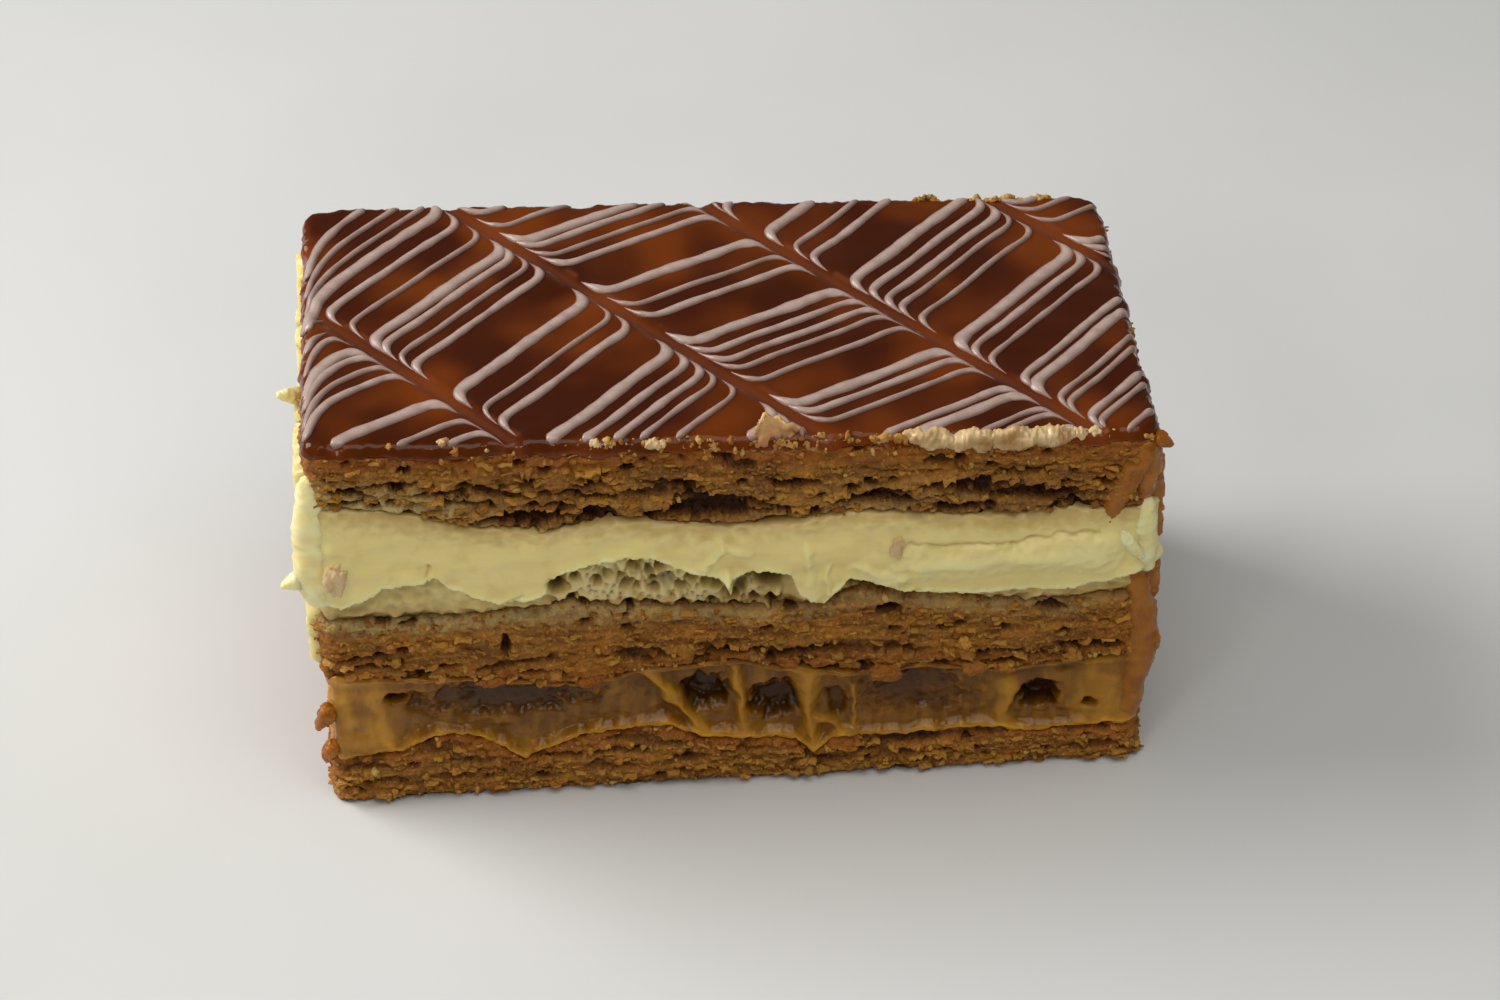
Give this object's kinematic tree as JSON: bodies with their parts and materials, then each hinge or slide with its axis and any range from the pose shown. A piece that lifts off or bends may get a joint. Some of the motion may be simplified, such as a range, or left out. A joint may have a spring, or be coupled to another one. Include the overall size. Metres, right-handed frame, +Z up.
{
  "type": "mille feuille slice",
  "caption": "Rectangular mille feuille slice: sheets of puff pastry with a caramel and a vanilla cream filling, under a caramel glaze feathered with white icing.",
  "frame": {"origin": "under the middle of the slice, on the surface that it rests on", "axes": "+X along the slice's length towards its right end, +Y from the front to the back, +Z up"},
  "size_m": [0.1056, 0.0544, 0.0541],
  "materials": {
    "puff_pastry": "matt, flaky baked pastry",
    "caramel": "glossy set caramel custard",
    "vanilla_cream": "satin set cream",
    "glaze": "glossy poured caramel glaze",
    "white_icing": "glossy thin icing"
  },
  "bodies": {
    "root": {"pastry_bottom": "puff_pastry", "caramel_filling": "caramel", "pastry_middle": "puff_pastry", "cream_filling": "vanilla_cream", "pastry_top": "puff_pastry", "glaze": "glaze", "cream_smear": "vanilla_cream", "caramel_smear": "caramel"}
  },
  "joints": []
}
